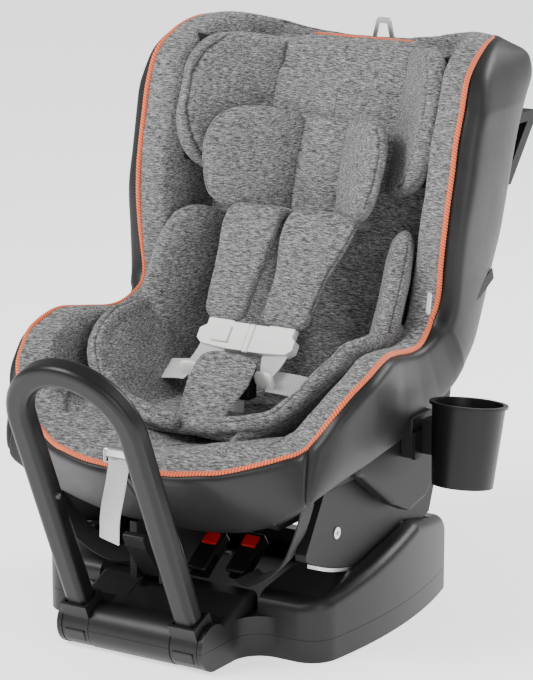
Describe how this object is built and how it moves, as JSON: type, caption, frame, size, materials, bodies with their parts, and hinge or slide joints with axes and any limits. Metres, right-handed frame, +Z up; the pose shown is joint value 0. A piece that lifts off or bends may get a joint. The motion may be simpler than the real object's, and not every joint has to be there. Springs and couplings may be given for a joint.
{
  "type": "convertible car seat",
  "caption": "Convertible child car seat: padded bucket with harness and adjustable headrest, rocking on a base with a folding anti-rebound bar.",
  "frame": {"origin": "middle of the base's flat underside, under the seat's pivot line", "axes": "+Z up, the child faces -Y, +X is the child's left; Y is the object's length"},
  "size_m": [0.5419, 0.7167, 0.661],
  "materials": {
    "base_plastic": "satin",
    "bar_plastic": "satin",
    "shell_plastic": "satin",
    "cup_plastic": "satin",
    "rubber_pad": "matte",
    "bright_steel": "satin",
    "leatherette": "satin",
    "grey_fabric": "matte",
    "foam": "matte",
    "orange_piping": "matte",
    "grey_webbing": "matte",
    "black_webbing": "matte",
    "clip_plastic": "gloss",
    "connector_plastic": "satin",
    "red_plastic": "gloss"
  },
  "bodies": {
    "base": {"base_lower_tray": "base_plastic", "base_upper_cover": "base_plastic", "base_nameplate": "base_plastic", "base_grip_pads": "rubber_pad", "bar_axle": "bright_steel", "base_screws": "bright_steel", "recline_tracks": "bright_steel"},
    "bar": {"bar_tube": "bar_plastic", "bar_knuckle_left": "base_plastic", "bar_knuckle_right": "base_plastic", "bar_screws": "bright_steel"},
    "bar_button_l": {"bar_button_left": "base_plastic"},
    "bar_button_r": {"bar_button_right": "base_plastic"},
    "headrest": {"headrest_shell": "shell_plastic", "headrest_pad": "grey_fabric", "head_pillow": "grey_fabric", "headrest_handle": "shell_plastic"},
    "cup": {"cup_holder": "cup_plastic"},
    "lever": {"recline_lever": "base_plastic"},
    "buckle_press": {"buckle_button": "red_plastic"},
    "clip_press": {"chest_clip_button": "clip_plastic"},
    "anchor_press_l": {"anchor_button_left": "red_plastic"},
    "anchor_press_r": {"anchor_button_right": "red_plastic"},
    "adjuster_press": {"adjuster_lever": "bright_steel"},
    "gate": {"tether_gate": "bright_steel"},
    "seat": {"adjuster_strap": "grey_webbing", "anchor_connector_left": "connector_plastic", "anchor_connector_right": "connector_plastic", "anchor_webbing": "black_webbing", "back_cushion": "grey_fabric", "buckle_body": "connector_plastic", "buckle_tongues": "bright_steel", "chest_clip_left": "clip_plastic", "chest_clip_right": "clip_plastic", "crotch_pad": "grey_fabric", "crotch_strap": "grey_webbing", "cup_bracket": "shell_plastic", "elastic_straps": "black_webbing", "front_cover": "leatherette", "harness_adjuster": "bright_steel", "impact_foam": "foam", "insert_cushion": "grey_fabric", "lap_straps": "grey_webbing", "rear_grips": "shell_plastic", "recline_bracket": "base_plastic", "rim_piping": "orange_piping", "rocker_bolts": "bright_steel", "rocker_plate_left": "shell_plastic", "rocker_plate_right": "shell_plastic", "seat_cushion": "grey_fabric", "seat_shell": "shell_plastic", "shoulder_pad_left": "grey_fabric", "shoulder_pad_right": "grey_fabric", "shoulder_straps": "grey_webbing", "side_cover_left": "leatherette", "side_cover_right": "leatherette", "tether_hook": "bright_steel", "tether_strap": "black_webbing", "wing_pad_left": "grey_fabric", "wing_pad_right": "grey_fabric"}
  },
  "joints": [
    {"name": "recline", "type": "hinge", "parent": "base", "child": "seat", "pos_m": [0, -0.04, 0.432], "axis": [-1, 0, 0], "range_deg": [0, 15]},
    {"name": "bar_fold", "type": "hinge", "parent": "base", "child": "bar", "pos_m": [0, -0.265, 0.027], "axis": [1, 0, 0], "range_deg": [0, 60]},
    {"name": "headrest_slide", "type": "slide", "parent": "seat", "child": "headrest", "axis": [0, 0.3256, 0.9455], "range_m": [0, 0.11]},
    {"name": "cup_lift", "type": "slide", "parent": "seat", "child": "cup", "axis": [0, 0, 1], "range_m": [0, 0.048]},
    {"name": "recline_lever_turn", "type": "hinge", "parent": "seat", "child": "lever", "pos_m": [0, -0.208, 0.081], "axis": [-1, 0, 0], "range_deg": [0, 14], "stiffness_Nm_per_rad": 1.2, "springref_deg": -11.46},
    {"name": "bar_button_left_press", "type": "slide", "parent": "bar", "child": "bar_button_l", "axis": [0, 0.9171, 0.3987], "range_m": [0, 0.003], "stiffness_N_per_m": 400},
    {"name": "bar_button_right_press", "type": "slide", "parent": "bar", "child": "bar_button_r", "axis": [0, 0.9171, 0.3987], "range_m": [0, 0.003], "stiffness_N_per_m": 400},
    {"name": "buckle_button_press", "type": "slide", "parent": "seat", "child": "buckle_press", "axis": [0, 1, 0], "range_m": [0, 0.003], "stiffness_N_per_m": 400},
    {"name": "chest_clip_button_press", "type": "slide", "parent": "seat", "child": "clip_press", "axis": [0, 0.7955, -0.606], "range_m": [0, 0.002], "stiffness_N_per_m": 400},
    {"name": "anchor_button_left_press", "type": "slide", "parent": "seat", "child": "anchor_press_l", "axis": [0, 0.5736, -0.8192], "range_m": [0, 0.002], "stiffness_N_per_m": 400},
    {"name": "anchor_button_right_press", "type": "slide", "parent": "seat", "child": "anchor_press_r", "axis": [0, 0.5736, -0.8192], "range_m": [0, 0.002], "stiffness_N_per_m": 400},
    {"name": "adjuster_lever_press", "type": "slide", "parent": "seat", "child": "adjuster_press", "axis": [0, 0, -1], "range_m": [0, 0.0005], "stiffness_N_per_m": 400},
    {"name": "tether_gate_swing", "type": "hinge", "parent": "seat", "child": "gate", "pos_m": [0, 0.2705, 0.6224], "axis": [1, 0, 0], "range_deg": [0, 20], "stiffness_Nm_per_rad": 0.01}
  ]
}
